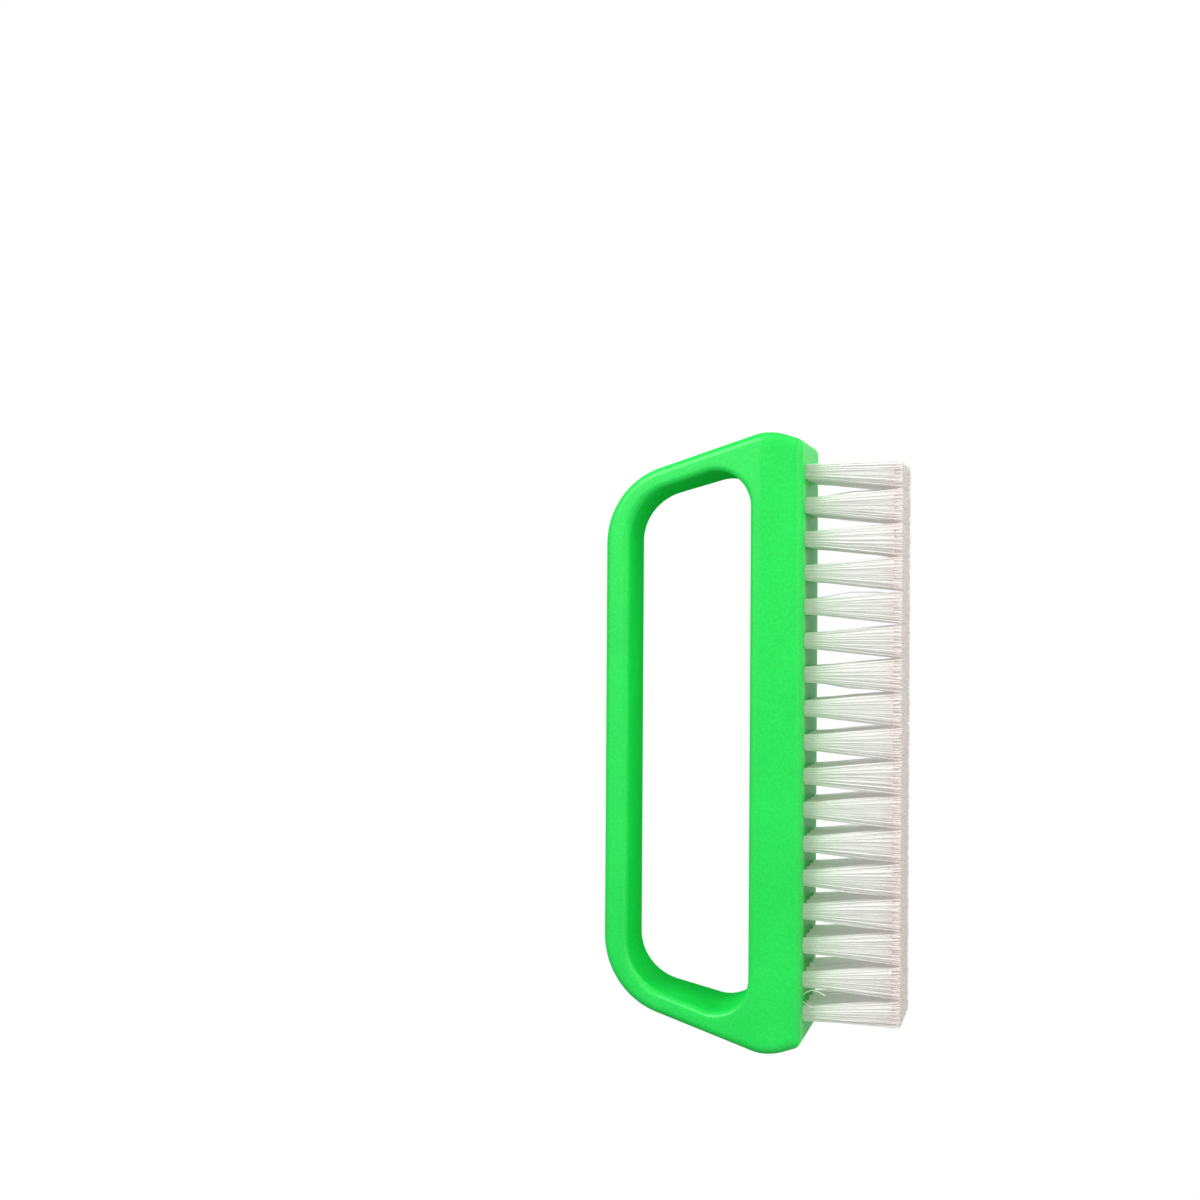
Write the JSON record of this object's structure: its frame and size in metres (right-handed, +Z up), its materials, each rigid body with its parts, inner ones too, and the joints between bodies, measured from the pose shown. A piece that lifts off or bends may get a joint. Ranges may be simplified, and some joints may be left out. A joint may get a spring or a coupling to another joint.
{
  "type": "nail brush",
  "caption": "Hand nail brush with a moulded block, a loop handle with a finger opening, and rows of trimmed bristle tufts for scrubbing nails.",
  "frame": {"origin": "middle of the plane of the trimmed bristle tips, on which the brush stands", "axes": "+X along the brush, +Y across it, +Z up from the bristle tips through the block to the grip"},
  "size_m": [0.0948, 0.025, 0.0464],
  "materials": {
    "moulded_plastic": "satin injection-moulded polypropylene, coloured through",
    "nylon_bristle": "translucent white nylon filaments",
    "anchor_wire": "flat drawn wire, hidden in the block"
  },
  "bodies": {
    "root": {"handle_block": "moulded_plastic", "tuft_column_01": "nylon_bristle", "tuft_column_02": "nylon_bristle", "tuft_column_03": "nylon_bristle", "tuft_column_04": "nylon_bristle", "tuft_column_05": "nylon_bristle", "tuft_column_06": "nylon_bristle", "tuft_column_07": "nylon_bristle", "tuft_column_08": "nylon_bristle", "tuft_column_09": "nylon_bristle", "tuft_column_10": "nylon_bristle", "tuft_column_11": "nylon_bristle", "tuft_column_12": "nylon_bristle", "tuft_column_13": "nylon_bristle", "tuft_column_14": "nylon_bristle", "tuft_column_15": "nylon_bristle", "tuft_column_16": "nylon_bristle", "tuft_column_17": "nylon_bristle", "anchor_column_01": "anchor_wire", "anchor_column_02": "anchor_wire", "anchor_column_03": "anchor_wire", "anchor_column_04": "anchor_wire", "anchor_column_05": "anchor_wire", "anchor_column_06": "anchor_wire", "anchor_column_07": "anchor_wire", "anchor_column_08": "anchor_wire", "anchor_column_09": "anchor_wire", "anchor_column_10": "anchor_wire", "anchor_column_11": "anchor_wire", "anchor_column_12": "anchor_wire", "anchor_column_13": "anchor_wire", "anchor_column_14": "anchor_wire", "anchor_column_15": "anchor_wire", "anchor_column_16": "anchor_wire", "anchor_column_17": "anchor_wire"}
  },
  "joints": []
}
